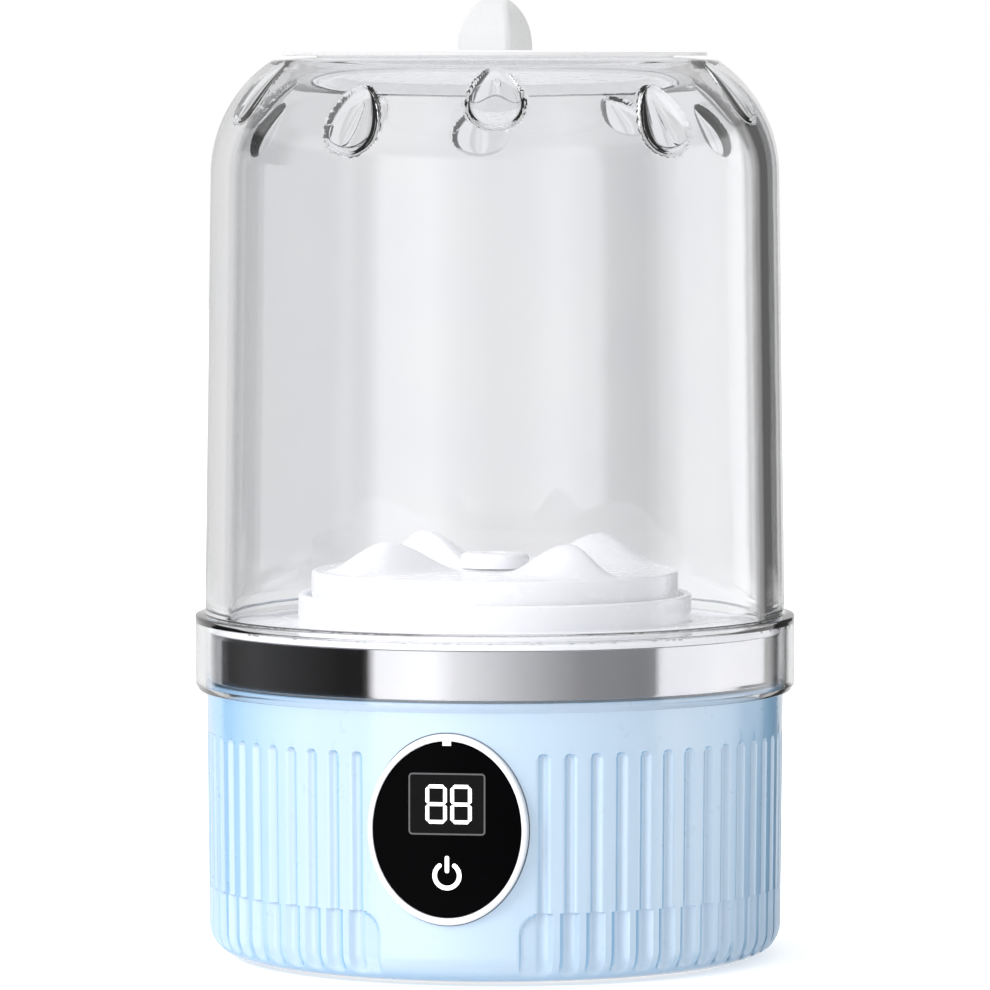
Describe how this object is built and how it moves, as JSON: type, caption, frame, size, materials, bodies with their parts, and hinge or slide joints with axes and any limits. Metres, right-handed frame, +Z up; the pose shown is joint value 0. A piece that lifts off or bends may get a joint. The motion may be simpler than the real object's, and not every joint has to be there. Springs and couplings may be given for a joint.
{
  "type": "portable mini washer",
  "caption": "Round ribbed base with an oval touch panel and a finned pulsator, under a clear upside-down cup that lifts off and has a finger-grip lid.",
  "frame": {"origin": "centre of the plane that the feet stand on", "axes": "+Z up along the pulsator's axis, -Y towards the side with the control panel"},
  "size_m": [0.0986, 0.0986, 0.1573],
  "materials": {
    "blue_shell": "satin moulded light blue",
    "white_plastic": "glossy white",
    "clear_cup": "clear, polished",
    "chrome_trim": "bright plated",
    "silver_bezel": "pearl silver",
    "black_lens": "glossy black",
    "dark_plastic": "matte black",
    "circuit_board": "green solder mask",
    "steel": "plated steel",
    "bronze": "sintered bronze",
    "gear_plastic": "natural acetal",
    "grey_plastic": "matte grey",
    "cell_wrap": "shrink wrap",
    "clear_silicone": "translucent silicone",
    "black_rubber": "matte rubber",
    "red_lead": "insulated wire",
    "black_lead": "insulated wire"
  },
  "bodies": {
    "base": {"base_shell": "blue_shell", "bottom_cover": "white_plastic", "rubber_foot_1": "black_rubber", "rubber_foot_2": "black_rubber", "rubber_foot_3": "black_rubber", "rubber_foot_4": "black_rubber", "cover_screw_1": "steel", "cover_screw_2": "steel", "cover_screw_3": "steel", "cover_screw_4": "steel", "chrome_band": "chrome_trim", "wash_deck": "white_plastic", "deck_screw_1": "steel", "deck_screw_2": "steel", "deck_screw_3": "steel", "cup_gasket": "clear_silicone", "panel_bezel": "silver_bezel", "panel_lens": "black_lens", "display_module": "dark_plastic", "control_board": "circuit_board", "touch_spring": "steel", "board_screw_1": "steel", "board_screw_2": "steel", "motor_bracket": "grey_plastic", "bracket_screw_1": "steel", "bracket_screw_2": "steel", "bracket_screw_3": "steel", "lower_bush": "bronze", "upper_bush": "bronze", "shaft_seal": "black_rubber", "motor_can": "steel", "motor_end_cap": "dark_plastic", "motor_screw_1": "steel", "motor_screw_2": "steel", "battery_cell": "cell_wrap", "battery_holder": "grey_plastic", "charge_socket": "steel", "charge_board": "circuit_board", "port_flap_anchor": "clear_silicone", "battery_lead_red": "red_lead", "battery_lead_black": "black_lead", "motor_lead_red": "red_lead", "motor_lead_black": "black_lead", "charge_lead": "red_lead"},
    "pulsator_drive": {"output_shaft": "steel", "drive_gear": "gear_plastic", "pulsator": "white_plastic", "pulsator_screw": "steel", "hub_cap": "white_plastic"},
    "motor_rotor": {"motor_shaft": "steel", "motor_pinion": "bronze"},
    "cup": {"cup": "clear_cup"},
    "lid": {"lid_plate": "white_plastic", "lid_grip": "white_plastic", "lid_seal": "clear_silicone"},
    "port_flap": {"port_flap": "clear_silicone"}
  },
  "joints": [
    {"name": "pulsator_spin", "type": "hinge", "parent": "base", "child": "pulsator_drive", "pos_m": [0, 0, 0.05], "axis": [0, 0, 1], "continuous": true},
    {"name": "motor_spin", "type": "hinge", "parent": "base", "child": "motor_rotor", "pos_m": [0, 0.0192, 0.046], "axis": [0, 0, 1], "continuous": true},
    {"name": "cup_lift", "type": "slide", "parent": "base", "child": "cup", "axis": [0, 0, 1], "range_m": [0, 0.11]},
    {"name": "lid_lift", "type": "slide", "parent": "cup", "child": "lid", "axis": [0, 0, 1], "range_m": [0, 0.03]},
    {"name": "flap_swing", "type": "hinge", "parent": "base", "child": "port_flap", "pos_m": [-0.007, 0.0465, 0.0126], "axis": [0, 0, 1], "range_deg": [0, 110]}
  ],
  "couplings": [
    {"joint": "motor_spin", "follows": "pulsator_spin", "ratio": -3}
  ]
}
